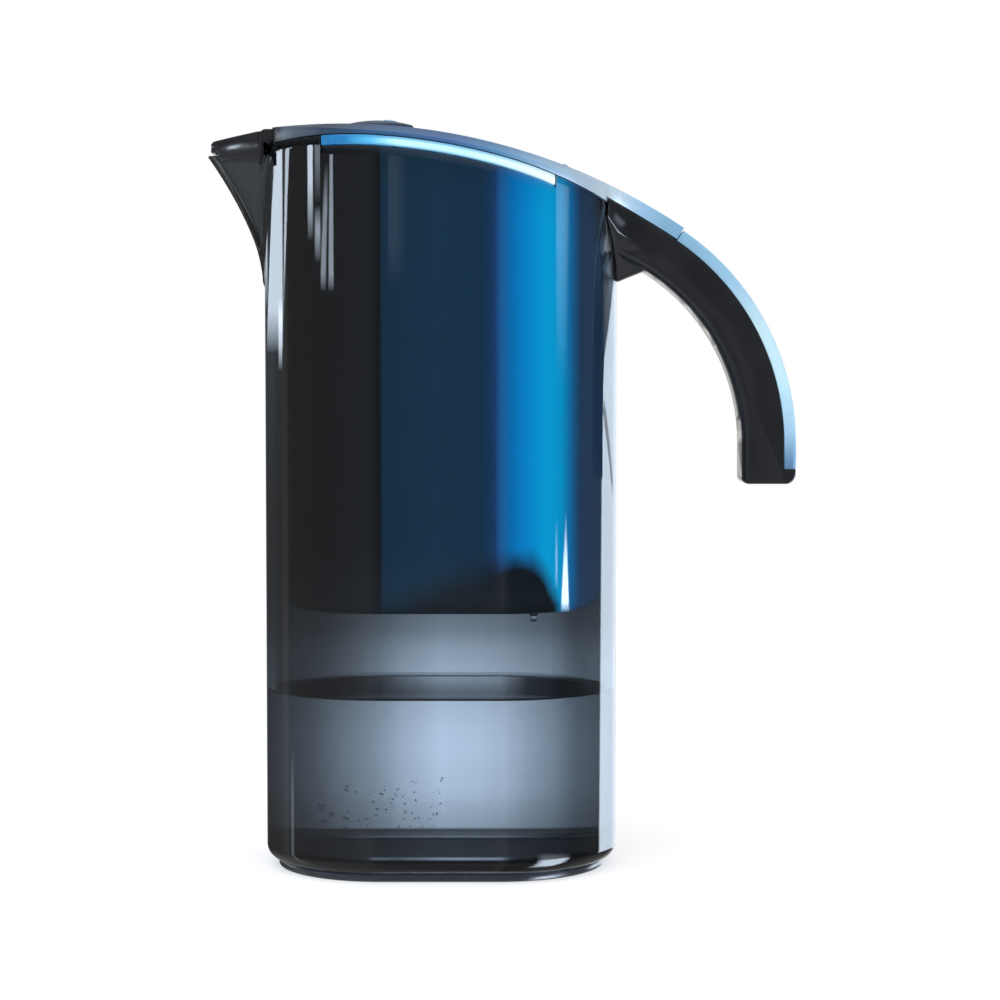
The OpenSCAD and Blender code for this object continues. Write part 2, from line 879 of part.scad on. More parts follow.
// Plan of the spout's edge, grown by a margin
module spout_plan(grow, front, rear) {
  tip = spout_tip;
  root = spout_root;
  steps = 8;
  xs = [for (i = [0:steps]) max(front, tip + 0.2) + (rear - max(front, tip + 0.2)) * i / steps];
  polygon(concat(
    [for (x = xs) [x, -(nose(x, tip, root, spout_half_w) + grow)]],
    [for (i = [steps:-1:0]) [xs[i], nose(xs[i], tip, root, spout_half_w) + grow]]));
}

// Side profile of the spout's hood, set in below its top
module hood_profile(inset) {
  polygon([
    [hood_front + inset, hood_low - inset], [hood_front + inset, spout_top + hood_rise - 1 - inset],
    [hood_front + 1 + inset, spout_top + hood_rise - inset], [hood_x, hood_z + hood_barrel_r - inset],
    [hood_x, hood_low - inset]]);
}

module spout_flap() {
  color("#1b1d21") difference() {
    union() {
      difference() {
        intersection() {
          across(far) hood_profile(0);
          upright() spout_plan(flap_gap + hood_t, hood_front, hood_x);
        }
        intersection() {
          across(far) hood_profile(hood_t);
          upright() spout_plan(flap_gap, hood_front + hood_t, hood_x + 1);
        }
        translate([hood_front - 5, -far / 2, 0]) cube([5 + hood_t + 1.2, far, spout_top + 0.8]);
        for (side = [-1, 1])
          translate([hood_ear_x, side * (hood_half + far / 4) - far / 4, 0]) cube([far, far / 2, far]);
        translate([hood_x - 1.4, -far / 2, 0]) cube([far, far, hood_z]);
      }
      rod(hood_barrel_r, hood_half, hood_x, hood_z);
    }
    rod(pin_r + pin_clearance, far / 4, hood_x, hood_z);
  }
}

module spout_flap_pin() {
  color("silver") rod(pin_r, hood_half + gap + hood_ear_t, hood_x, hood_z);
}

jug_body();
base_pad();
handle_core();
handle_trim();
hopper();
cartridge_cup();
cartridge_cap();
cartridge_seal();
filter_media();
mesh_top();
mesh_bottom();
lid_shell();
lid_liner();
lid_seal();
indicator_bezel();
indicator_lens();
indicator_display();
indicator_board();
indicator_battery();
indicator_cover();
indicator_button();
fill_flap();
fill_flap_pin();
spout_flap();
spout_flap_pin();
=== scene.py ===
import json
import math
import random

import bmesh
import bpy
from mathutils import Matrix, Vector

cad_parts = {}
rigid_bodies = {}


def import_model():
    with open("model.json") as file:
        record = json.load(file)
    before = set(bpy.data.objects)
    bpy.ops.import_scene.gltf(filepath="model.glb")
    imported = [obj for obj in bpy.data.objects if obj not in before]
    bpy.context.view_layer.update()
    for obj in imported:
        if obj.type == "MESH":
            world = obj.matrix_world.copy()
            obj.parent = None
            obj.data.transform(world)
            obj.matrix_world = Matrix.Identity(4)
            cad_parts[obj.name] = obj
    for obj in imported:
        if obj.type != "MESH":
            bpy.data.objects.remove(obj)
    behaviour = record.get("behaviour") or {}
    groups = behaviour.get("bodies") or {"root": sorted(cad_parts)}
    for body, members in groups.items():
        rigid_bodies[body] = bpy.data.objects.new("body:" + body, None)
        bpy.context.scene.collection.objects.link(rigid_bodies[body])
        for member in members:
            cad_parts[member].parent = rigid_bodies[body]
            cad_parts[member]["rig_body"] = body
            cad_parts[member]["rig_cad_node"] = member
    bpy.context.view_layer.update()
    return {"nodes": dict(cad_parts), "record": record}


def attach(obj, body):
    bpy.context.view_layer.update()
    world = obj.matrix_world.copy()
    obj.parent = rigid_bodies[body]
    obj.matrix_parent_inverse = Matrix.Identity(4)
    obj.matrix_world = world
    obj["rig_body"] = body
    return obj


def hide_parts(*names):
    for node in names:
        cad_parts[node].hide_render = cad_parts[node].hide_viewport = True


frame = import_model()
mm = 0.001


def clearSelection():
    if bpy.context.object and bpy.context.object.mode != "OBJECT":
        bpy.ops.object.mode_set(mode="OBJECT")
    bpy.ops.object.select_all(action="DESELECT")


def pick(piece):
    clearSelection()
    piece.select_set(True)
    bpy.context.view_layer.objects.active = piece


def openMesh(piece):
    pick(piece)
    bpy.ops.object.mode_set(mode="EDIT")
    return bmesh.from_edit_mesh(piece.data)


def closeMesh():
    bpy.ops.object.mode_set(mode="OBJECT")


def applyModifiers(piece):
    pick(piece)
    for modifier in list(piece.modifiers):
        bpy.ops.object.modifier_apply(modifier=modifier.name)


def settle(piece):
    pick(piece)
    bpy.ops.object.transform_apply(location=True, rotation=True, scale=True)


def easeEdges(piece, width, corner=35, segments=3):
    bevel = piece.modifiers.new("easedEdge", "BEVEL")
    bevel.width, bevel.segments, bevel.angle_limit = width * mm, segments, math.radians(corner)
    bevel.use_clamp_overlap = False
    bevel.miter_outer = "MITER_ARC"
    applyModifiers(piece)


def finish(piece, body, material, nodes=(), angle=40):   # in degrees
    pick(piece)
    bpy.ops.object.shade_smooth_by_angle(angle=math.radians(angle))
    piece.data.materials.clear()
    piece.data.materials.append(material)
    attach(piece, body)
    if nodes:
        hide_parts(*nodes)
    return piece


def outwards(piece):
    openMesh(piece)
    bpy.ops.mesh.select_all(action="SELECT")
    bpy.ops.mesh.normals_make_consistent(inside=False)
    closeMesh()


# Starts a piece as one closed loop of points; each later loop is extruded from the last one
def startLoop(name, points):
    clearSelection()
    bpy.ops.mesh.primitive_circle_add(vertices=len(points), radius=mm)
    piece = bpy.context.object
    piece.name = piece.data.name = name
    mesh = openMesh(piece)
    column = mesh.verts.layers.int.new("column")
    mesh.verts.ensure_lookup_table()
    for i, vertex in enumerate(mesh.verts):
        vertex[column] = i
        vertex.co = points[i]
        vertex.select_set(True)
    bmesh.update_edit_mesh(piece.data)
    return piece


def nextLoop(piece, points):
    bpy.ops.mesh.extrude_edges_move()
    mesh = bmesh.from_edit_mesh(piece.data)
    column = mesh.verts.layers.int["column"]
    for vertex in mesh.verts:
        if vertex.select:
            vertex.co = points[vertex[column]]
    bmesh.update_edit_mesh(piece.data)


# Closes both open ends with a face
def capEnds(piece):
    mesh = bmesh.from_edit_mesh(piece.data)
    bpy.ops.mesh.select_mode(type="EDGE")
    bpy.ops.mesh.select_all(action="DESELECT")
    for edge in mesh.edges:
        if edge.is_boundary:
            edge.select_set(True)
    bmesh.update_edit_mesh(piece.data)
    bpy.ops.mesh.edge_face_add()


# Joins the last loop to the first where they lie on each other
def joinEnds():
    bpy.ops.mesh.select_all(action="SELECT")
    bpy.ops.mesh.remove_doubles(threshold=0.001 * mm)


def loopPiece(name, loops, ring=False):
    piece = startLoop(name, loops[0])
    for points in loops[1:]:
        nextLoop(piece, points)
    if ring:
        joinEnds()
    else:
        capEnds(piece)
    closeMesh()
    mesh = openMesh(piece)
    mesh.verts.layers.int.remove(mesh.verts.layers.int["column"])
    closeMesh()
    outwards(piece)
    return piece


# A turned piece: (radius, height) points about an upright axis at x, y
def turnedPiece(name, profile, x, y=0, around=64, ring=False):
    loops = []
    for r, z in profile:
        turns = [2 * math.pi * i / around for i in range(around)]
        loops.append(metres([(x + r * math.cos(a), y + r * math.sin(a), z) for a in turns]))
    return loopPiece(name, loops, ring)


# Measures that many pieces share, in millimetres
jug = {
    "endR": 45, "flatHalf": 21.5, "wall": 3.2,   # plan of the round ends and the flat sides
    "foot": 3, "floor": 6, "edgeR": 5, "innerEdgeR": 3, "edgeSteps": 7,
    "levels": (60, 120, 180), "straightTop": 216, "upperSteps": 20, "lip": 0.6, "lipEdge": 0.18,
    "hold": 0.5,   # a loop this far above a rounded edge keeps it tight
    "smooth": 50,   # degrees, as in every piece below
}
topLine = {"crestX": -36, "axisZ": 51, "rimR": 221.8, "flangeR": 217.9, "flangeHalf": 42.7}
spout = {
    "low": 222.59, "top": 268.59, "halfW": 17.5, "leastW": 2.6, "widening": 1.6, "beakRound": 0.75,
    "reach": 21.7, "sag": 2.6, "tipGap": 0.4, "root": -62.6, "wall": 2.2, "tipWall": 1.4,
    "blend": 4.5, "startShare": -0.06, "narrowest": 0.3, "rimEase": 1.2,
}
plan = {
    "spoutSteps": 22, "sideSteps": 14, "endSteps": 8, "flatSteps": 12, "backSteps": 22,
    "spoutEdge": 25, "spoutCrowding": 1.25, "notchEdge": 61.9, "notchHalf": 0.06,   # angles in degrees
}


def arcZ(radius, x):
    return topLine["axisZ"] + math.sqrt(radius**2 - (x - topLine["crestX"]) ** 2)


def smoothMin(a, b, k):
    h = max(k - abs(a - b), 0) / k
    return min(a, b) - h * h * k / 4


# Half of a stadium plan, as (kind, angle or share): the front's middle, round the front end, along the side
# and round the back. Two stations stand close together where the rim is notched.
def planStations():
    spoutSteps, sideSteps, endSteps = plan["spoutSteps"], plan["sideSteps"], plan["endSteps"]
    flatSteps, backSteps, spoutEdge = plan["flatSteps"], plan["backSteps"], plan["spoutEdge"]
    notchEdge, notchStep = plan["notchEdge"], plan["notchHalf"]
    half = [("front", spoutEdge * (i / spoutSteps) ** plan["spoutCrowding"]) for i in range(spoutSteps)]
    half += [("front", spoutEdge + (notchEdge - notchStep - spoutEdge) * i / sideSteps)
             for i in range(sideSteps + 1)]
    half += [("front", notchEdge + notchStep + (90 - notchEdge - notchStep) * i / endSteps)
             for i in range(endSteps)]
    half += [("flat", i / flatSteps) for i in range(flatSteps)]
    half += [("back", 90 - (90 - notchEdge - notchStep) * i / endSteps) for i in range(endSteps + 1)]
    half += [("back", (notchEdge - notchStep) * (1 - i / backSteps)) for i in range(backSteps + 1)]
    return half


stations = planStations()


def planPoint(station, radius):
    kind, value = station
    if kind == "flat":
        return jug["flatHalf"] * (2 * value - 1), radius
    angle = math.radians(value)
    side = -1 if kind == "front" else 1
    return side * (jug["flatHalf"] + radius * math.cos(angle)), radius * math.sin(angle)


# Points from front to back on one side, then back along the other
def mirrored(half):
    return half + [(x, -y, z) for x, y, z in reversed(half[1:-1])]


def metres(points):
    return [Vector(p) * mm for p in points]


def newMaterial(name):
    material = bpy.data.materials.new(name)
    material.use_nodes = True
    return material, material.node_tree, material.node_tree.nodes["Principled BSDF"]


# Gives a socket a number, a colour or another node's output
def feed(tree, socket, value):
    if isinstance(value, (int, float)):
        socket.default_value = value
    elif isinstance(value, tuple):
        socket.default_value = (*value, 1)
    else:
        tree.links.new(value, socket)


def mathNode(tree, operation, a, b=None, c=None, clamp=False):
    node = tree.nodes.new("ShaderNodeMath")
    node.operation = operation
    node.use_clamp = clamp
    for socket, value in zip(node.inputs, (a, b, c)):
        if value is not None:
            feed(tree, socket, value)
    return node.outputs[0]


# Spreads start..end over low..high
def spreadNode(tree, value, start, end, low=0.0, high=1.0):
    node = tree.nodes.new("ShaderNodeMapRange")
    names = ("Value", "From Min", "From Max", "To Min", "To Max")
    for name, given in zip(names, (value, start, end, low, high)):
        feed(tree, node.inputs[name], given)
    return node.outputs[0]


def rampNode(tree, factor, stops, interpolation="LINEAR"):
    node = tree.nodes.new("ShaderNodeValToRGB")
    ramp = node.color_ramp
    ramp.interpolation = interpolation
    while len(ramp.elements) > 1:
        ramp.elements.remove(ramp.elements[-1])
    for i, (place, colour) in enumerate(stops):
        element = ramp.elements[0] if i == 0 else ramp.elements.new(place)
        element.position = place
        if isinstance(colour, (int, float)):
            colour = (colour, colour, colour)
        element.color = (*colour, 1)
    feed(tree, node.inputs["Fac"], factor)
    return node.outputs["Color"]


def objectAxis(tree, axis):
    coordinates = tree.nodes.new("ShaderNodeTexCoord")
    split = tree.nodes.new("ShaderNodeSeparateXYZ")
    tree.links.new(coordinates.outputs["Object"], split.inputs[0])
    return split.outputs[axis]


# 0 at start and 1 at end, in millimetres along an object axis
def along(tree, axis, start, end):
    return spreadNode(tree, objectAxis(tree, axis), start * mm, end * mm)


# Colours at places in millimetres along an object axis
def bandedColour(tree, axis, bands, interpolation="LINEAR"):
    start, end = bands[0][0], bands[-1][0]
    stops = [((place - start) / (end - start), colour) for place, colour in bands]
    return rampNode(tree, along(tree, axis, start, end), stops, interpolation)


def mixColours(tree, factor, a, b, kind="MIX"):
    node = tree.nodes.new("ShaderNodeMix")
    node.data_type = "RGBA"
    node.blend_type = kind
    for socket, value in ((node.inputs[0], factor), (node.inputs[6], a), (node.inputs[7], b)):
        feed(tree, socket, value)
    return node.outputs[2]


noiseLow, noiseHigh = 0.35, 0.65   # noise seldom leaves this span


def noise(tree, scale, detail=2.0):
    coordinates = tree.nodes.new("ShaderNodeTexCoord")
    texture = tree.nodes.new("ShaderNodeTexNoise")
    feed(tree, texture.inputs["Scale"], scale)
    texture.inputs["Detail"].default_value = detail
    tree.links.new(coordinates.outputs["Object"], texture.inputs["Vector"])
    return texture.outputs["Fac"]


# A colour with fine flecks that are lighter and darker by a share
def flecked(tree, colour, scale, share):
    fleck = rampNode(tree, noise(tree, scale), [(noiseLow, 1 - share), (noiseHigh, 1 + share)])
    return mixColours(tree, 1.0, colour, fleck, "MULTIPLY")


# The skin of moulded plastic: a fine grain, and patches that are a little smoother or duller
def mouldedSkin():
    shaping = {"patchDetail": 4, "patchFrom": 0.3, "patchTo": 0.7, "bump": 0.4}
    group = bpy.data.node_groups.new("mouldedSkin", "ShaderNodeTree")
    for name in ("Grain Scale", "Grain Depth", "Patch Scale", "Smoothest", "Dullest"):
        group.interface.new_socket(name, in_out="INPUT", socket_type="NodeSocketFloat")
    group.interface.new_socket("Roughness", in_out="OUTPUT", socket_type="NodeSocketFloat")
    group.interface.new_socket("Normal", in_out="OUTPUT", socket_type="NodeSocketVector")
    given = group.nodes.new("NodeGroupInput").outputs
    result = group.nodes.new("NodeGroupOutput").inputs
    patches = noise(group, given["Patch Scale"], shaping["patchDetail"])
    span = shaping["patchFrom"], shaping["patchTo"]
    roughness = spreadNode(group, patches, *span, given["Smoothest"], given["Dullest"])
    group.links.new(roughness, result["Roughness"])
    bump = group.nodes.new("ShaderNodeBump")
    bump.inputs["Strength"].default_value = shaping["bump"]
    group.links.new(given["Grain Depth"], bump.inputs["Distance"])
    group.links.new(noise(group, given["Grain Scale"]), bump.inputs["Height"])
    group.links.new(bump.outputs[0], result["Normal"])
    return group


skin = mouldedSkin()


# A look's skin is what comes after the shader here. Scales are per metre, the grain's depth in millimetres.
def coverWithSkin(tree, shader, grain, depth, patch, smoothest, dullest):
    node = tree.nodes.new("ShaderNodeGroup")
    node.node_tree = skin
    names = ("Grain Scale", "Grain Depth", "Patch Scale", "Smoothest", "Dullest")
    for name, value in zip(names, (grain, depth * mm, patch, smoothest, dullest)):
        node.inputs[name].default_value = value
    tree.links.new(node.outputs["Roughness"], shader.inputs["Roughness"])
    tree.links.new(node.outputs["Normal"], shader.inputs["Normal"])


# Clear plastic that lets lamps through
def letLampsThrough(tree, shader, tint):
    rays = tree.nodes.new("ShaderNodeLightPath")
    clear = tree.nodes.new("ShaderNodeBsdfTransparent")
    clear.inputs["Color"].default_value = (*tint, 1)
    mix = tree.nodes.new("ShaderNodeMixShader")
    either = mathNode(tree, "MAXIMUM", rays.outputs["Is Shadow Ray"], rays.outputs["Is Diffuse Ray"])
    tree.links.new(either, mix.inputs[0])
    tree.links.new(shader.outputs[0], mix.inputs[1])
    tree.links.new(clear.outputs[0], mix.inputs[2])
    tree.links.new(mix.outputs[0], tree.nodes["Material Output"].inputs["Surface"])


def clearMaterial(name, ior, lampTint):
    material, tree, shader = newMaterial(name)
    shader.inputs["Transmission Weight"].default_value = 1
    shader.inputs["IOR"].default_value = ior
    shader.inputs["Roughness"].default_value = 0
    letLampsThrough(tree, shader, lampTint)
    return material, tree, shader


# Smoky clear plastic with painted shade: its colour darkens towards both round ends and lightens again at the back
# edge as painted light
def smokedClear():
    look = {
        "ior": 1.49, "density": 105, "volume": (0.10, 0.36, 0.60), "lampTint": (0.9, 0.92, 0.95),
        "tint": (0.90, 0.945, 1.0),
        "endShade": [(-67, 0.24), (-60, 0.26), (-53, 0.29), (-46, 0.34), (-38, 0.43), (-27, 0.6), (-15, 0.84),
                  (0, 0.98), (15, 0.95), (24, 0.88), (34, 0.8), (42, 0.74), (51, 0.5), (58, 0.46), (62, 0.6),
                  (67, 0.8)],
        "footShadeLine": [(0, 1.0), (5.2, 1.0), (5.8, 0.12), (8.2, 0.12), (9.0, 1.0)],   # painted shade: a dark line at the floor
    }
    material, tree, shader = clearMaterial("smokedClear", look["ior"], look["lampTint"])
    # Painted shade by place along the jug, times a painted dark line at the floor
    endShade, footShadeLine = bandedColour(tree, 0, look["endShade"]), bandedColour(tree, 2, look["footShadeLine"])
    endShade = mixColours(tree, 1.0, endShade, footShadeLine, "MULTIPLY")
    tree.links.new(mixColours(tree, 1.0, endShade, look["tint"], "MULTIPLY"), shader.inputs["Base Color"])
    volume = tree.nodes.new("ShaderNodeVolumeAbsorption")
    volume.inputs["Color"].default_value = (*look["volume"], 1)
    volume.inputs["Density"].default_value = look["density"]
    tree.links.new(volume.outputs[0], tree.nodes["Material Output"].inputs["Volume"])
    return material


# Water, and the air in a bubble under it
def tintedClear(name, ior, lampTint, tint):
    material, tree, shader = clearMaterial(name, ior, lampTint)
    feed(tree, shader.inputs["Base Color"], tint)
    return material


# Pearl blue plastic with light painted into its colour: painted reflections make it black in front, navy on the
# flat sides and bright blue round the back, and painted shadow darkens its foot and a corner by the handle's root
def pearlBlueWithPaintedLight():
    look = {
        "bands": [(-62, (0.010, 0.011, 0.012)), (-21.2, (0.010, 0.012, 0.014)), (-20.4, (0.012, 0.050, 0.078)),
                  (4, (0.012, 0.047, 0.072)), (16, (0.011, 0.047, 0.078)), (20.6, (0.010, 0.062, 0.150)),
                  (22, (0.006, 0.13, 0.32)), (26, (0.0, 0.25, 0.52)), (32, (0.0, 0.42, 0.82)),
                  (39, (0.0, 0.68, 1.0)), (44.5, (0.0, 0.68, 1.0)), (48, (0.02, 0.34, 0.66)),
                  (51, (0.06, 0.14, 0.24)), (57, (0.07, 0.15, 0.23)), (62, (0.03, 0.12, 0.24))],
        "paintedShadow": (0.011, 0.013, 0.016), "shadowSoft": 12, "ragged": 11, "raggedScale": 70, "fullHeight": 200,
        "shadowTop": [(-26, 96), (-14, 102), (4, 111), (20, 117), (28, 120), (34, 118), (38, 113), (42, 105),
                    (47, 86)],
        "collarShadeZ": (231, 239), "collarShadeX": (56, 58.5), "flecks": (1500, 0.03), "specular": 0.15,
        "skin": (1200, 0.003, 90, 0.3, 0.36),
    }
    soft, ragged, full = look["shadowSoft"], look["ragged"] / look["shadowSoft"], look["fullHeight"]
    material, tree, shader = newMaterial("pearlBlueWithPaintedLight")
    # Painted shadow over the hopper's foot, up to a ragged line
    shadowTop = bandedColour(tree, 0, [(x, z / full) for x, z in look["shadowTop"]])
    shadowTop = mathNode(tree, "MULTIPLY_ADD", shadowTop, full / soft, 0.5)
    wander = mathNode(tree, "MULTIPLY_ADD", noise(tree, look["raggedScale"], 3), ragged, -0.5 * ragged)
    above = mathNode(tree, "MULTIPLY", objectAxis(tree, 2), 1 / (soft * mm))
    shade = mathNode(tree, "SUBTRACT", mathNode(tree, "ADD", shadowTop, wander), above, clamp=True)
    # Painted shade in the hopper's upper back corner by the handle's root
    collarShade = [along(tree, 2, *look["collarShadeZ"]), along(tree, 0, *look["collarShadeX"])]
    shade = mathNode(tree, "MAXIMUM", shade, mathNode(tree, "MULTIPLY", *collarShade, clamp=True))
    # Painted reflections as colour bands along the hopper, under the painted shadow
    colour = mixColours(tree, shade, bandedColour(tree, 0, look["bands"]), look["paintedShadow"])
    tree.links.new(flecked(tree, colour, *look["flecks"]), shader.inputs["Base Color"])
    shader.inputs["Specular IOR Level"].default_value = look["specular"]
    coverWithSkin(tree, shader, *look["skin"])
    return material


# Painted light along the strip, dark blue at the front end to pale blue at the back, and painted shade in a darker
# blue along its upper edge under the lid and along its lower edge
def stripBlue():
    look = {
        "bands": [(-45, (0.004, 0.12, 0.32)), (-34, (0.003, 0.15, 0.38)), (-24, (0.08, 0.42, 0.72)),
                  (-14, (0.44, 0.82, 0.94)), (8, (0.42, 0.79, 0.90)), (22, (0.54, 0.84, 0.90)),
                  (45, (0.70, 0.84, 0.88))],
        "edge": (0.03, 0.18, 0.38), "lowR": 218.2, "topR": 221.8,
        "across": [(0.0, 1.0), (0.12, 0.6), (0.3, 0.0), (0.62, 0.0), (0.8, 0.7), (1.0, 1.0)],
        "fade": [(-45, 0.35), (-20, 0.9), (20, 0.8), (40, 0.4)],
        "skin": (4000, 0.01, 150, 0.24, 0.34),
    }
    material, tree, shader = newMaterial("stripBlue")
    squares = []
    for axis, middle in ((0, topLine["crestX"]), (2, topLine["axisZ"])):
        off = mathNode(tree, "SUBTRACT", objectAxis(tree, axis), middle * mm)
        squares.append(mathNode(tree, "MULTIPLY", off, off))
    radius = mathNode(tree, "SQRT", mathNode(tree, "ADD", *squares))
    across = spreadNode(tree, radius, look["lowR"] * mm, look["topR"] * mm)
    # Painted shade along the strip's upper and lower edges, weaker towards its ends
    edgeShade = mathNode(tree, "MULTIPLY", rampNode(tree, across, look["across"]), bandedColour(tree, 0, look["fade"]))
    # Painted light: colour bands along the strip
    colour = mixColours(tree, edgeShade, bandedColour(tree, 0, look["bands"]), look["edge"])
    tree.links.new(colour, shader.inputs["Base Color"])
    coverWithSkin(tree, shader, *look["skin"])
    return material


def blackGloss():
    look = {"tones": [(0.3, (0.010, 0.011, 0.013)), (0.7, (0.015, 0.016, 0.019))], "scale": 45,
            "skin": (500, 0.006, 60, 0.08, 0.16)}
    material, tree, shader = newMaterial("blackGloss")
    tree.links.new(rampNode(tree, noise(tree, look["scale"]), look["tones"]), shader.inputs["Base Color"])
    coverWithSkin(tree, shader, *look["skin"])
    return material


# Metallic paint with light and shade painted into its colour as bands along an object axis
def bandedPaint(name, axis, look):
    material, tree, shader = newMaterial(name)
    colour = flecked(tree, bandedColour(tree, axis, look["bands"]), *look["flecks"])
    tree.links.new(colour, shader.inputs["Base Color"])
    shader.inputs["Metallic"].default_value = look["metallic"]
    coverWithSkin(tree, shader, *look["skin"])
    return material


silverLookWithPaintedLight = {   # painted light by height: brightest in the middle of the handle's back, darker towards its top and foot
    "bands": [(148, (0.07, 0.14, 0.25)), (154, (0.10, 0.22, 0.38)), (165, (0.30, 0.51, 0.69)),
              (184, (0.45, 0.69, 0.80)), (203, (0.46, 0.66, 0.75)), (221, (0.26, 0.46, 0.63)),
              (236, (0.19, 0.37, 0.53))],
    "flecks": (400, 0.015), "metallic": 0.15, "skin": (600, 0.001, 90, 0.29, 0.36),
}
steelLookWithPaintedLight = {   # painted light and reflection from the spout to the tail: near black at the front, lightest towards the tail
    "bands": [(-59, (0.012, 0.013, 0.016)), (-57, (0.07, 0.095, 0.135)), (-52, (0.06, 0.085, 0.12)),
              (-42, (0.02, 0.038, 0.068)), (-16, (0.027, 0.09, 0.21)), (4, (0.036, 0.10, 0.25)),
              (22, (0.065, 0.19, 0.36)), (38, (0.20, 0.34, 0.49)), (53, (0.31, 0.41, 0.51)),
              (66, (0.41, 0.52, 0.60)), (75, (0.27, 0.44, 0.63)), (84, (0.18, 0.34, 0.49)),
              (92, (0.16, 0.33, 0.5))],
    "flecks": (400, 0.015), "metallic": 0.1, "skin": (600, 0.001, 90, 0.27, 0.34),
}


# A piece of one tone with patches a little lighter or darker, and smoother or duller
def toned(name, colour, roughness, metallic=0.0, grain=2500, depth=0.03, contrast=0.08):
    change = {"scaleShare": 3, "patch": 120, "roughness": 0.06, "smoothest": 0.03}
    material, tree, shader = newMaterial(name)
    low, high = [tuple(c * k for c in colour) for k in (1 - contrast, 1 + contrast)]
    tone = rampNode(tree, noise(tree, grain / change["scaleShare"]), [(noiseLow, low), (noiseHigh, high)])
    tree.links.new(tone, shader.inputs["Base Color"])
    shader.inputs["Metallic"].default_value = metallic
    smoothest, dullest = max(roughness - change["roughness"], change["smoothest"]), roughness + change["roughness"]
    coverWithSkin(tree, shader, grain, depth, change["patch"], smoothest, dullest)
    return material


finishes = {
    "smoked_clear": smokedClear(),
    "pad_rubber": toned("padRubber", (0.03, 0.034, 0.042), 0.22),
    "black_gloss": blackGloss(),
    "silver_blue": bandedPaint("silverBlue", 2, silverLookWithPaintedLight),
    "pearl_blue": pearlBlueWithPaintedLight(),
    "white_plastic": toned("whitePlastic", (0.78, 0.79, 0.79), 0.4, contrast=0.02),
    "seal_rubber": toned("sealRubber", (0.05, 0.053, 0.056), 0.6),
    "carbon": toned("carbonGrain", (0.05, 0.045, 0.04), 0.8, grain=1500, depth=0.5, contrast=0.5),
    "mesh_cloth": toned("meshCloth", (0.72, 0.72, 0.70), 0.7, depth=0.2, contrast=0.1),
    "steel_blue": bandedPaint("steelBlue", 0, steelLookWithPaintedLight),
    "liner_plastic": toned("linerPlastic", (0.05, 0.08, 0.12), 0.4),
    "dark_satin": toned("darkSatin", (0.04, 0.06, 0.09), 0.3),
    "lens_clear": toned("lensTint", (0.05, 0.08, 0.12), 0.12),
    "display_glass": toned("displayGlass", (0.3, 0.34, 0.28), 0.2),
    "board_green": toned("boardGreen", (0.03, 0.14, 0.06), 0.4),
    "pin_steel": toned("pinSteel", (0.15, 0.155, 0.16), 0.3, metallic=1.0),
}
slotOf = {part["node"]: part["material_slot"] for part in frame["record"]["subparts"]}
for name, node in frame["nodes"].items():
    node.data.materials.clear()
    node.data.materials.append(finishes[slotOf[name]])
print("finishes made")


# Where the jug's wall stands at a height, with the beak of the spout drawn out of the front
def jugPoint(station, inset, z):
    x, y = planPoint(station, jug["endR"] - inset)
    t = (z - spout["low"]) / (spout["top"] - spout["low"])
    if station[0] != "front" or t < spout["startShare"]:
        return x, y
    t = max(t, 0.0)
    beakInset = inset * spout["wall"] / jug["wall"]
    front = -jug["flatHalf"] - jug["endR"]
    tip = front + spout["tipGap"] - (spout["reach"] + spout["tipGap"]) * t
    tip += spout["sag"] * 4 * t * (1 - t) + spout["tipWall"] * beakInset
    width = spout["leastW"] + (spout["halfW"] - spout["leastW"]) * t ** spout["widening"] - beakInset
    if width < spout["narrowest"]:
        return x, y
    beakX = tip + (spout["root"] - tip) * (abs(y) / width) ** (1 / spout["beakRound"])
    return smoothMin(x, beakX, spout["blend"]), y


# The rim's height: level round the spout, notched for the hopper's strips, and else on the lid's arc
def rimZ(station):
    x, y = planPoint(station, jug["endR"])
    if abs(x) < topLine["flangeHalf"]:
        return arcZ(topLine["flangeR"], x)
    arc = arcZ(topLine["rimR"], x)
    if station[0] == "front":
        share = min(max((y - spout["halfW"]) / spout["rimEase"], 0), 1)
        return spout["top"] + (arc - spout["top"]) * share
    return arc


# A loop at a height, or at a share of the way from there to the rim
def jugLoop(inset, z, topShare=None, drop=0.0):
    half = []
    for station in stations:
        height = z if topShare is None else z + (rimZ(station) - drop - z) * topShare
        x, y = jugPoint(station, inset, height)
        half.append((x, y, height))
    return metres(mirrored(half))


# A rounded edge between a foot and a wall, as loops from the foot up
def footLoops(loopAt, inset, low, edgeR, steps):
    loops = []
    for i in range(steps + 1):
        angle = math.pi / 2 * i / steps
        loops.append(loopAt(inset + edgeR * (1 - math.sin(angle)), low + edgeR * (1 - math.cos(angle))))
    return loops


# How far the stadium's edge stands from its long axis at x
def halfWidth(radius, x):
    return math.sqrt(radius**2 - max(abs(x) - jug["flatHalf"], 0) ** 2)


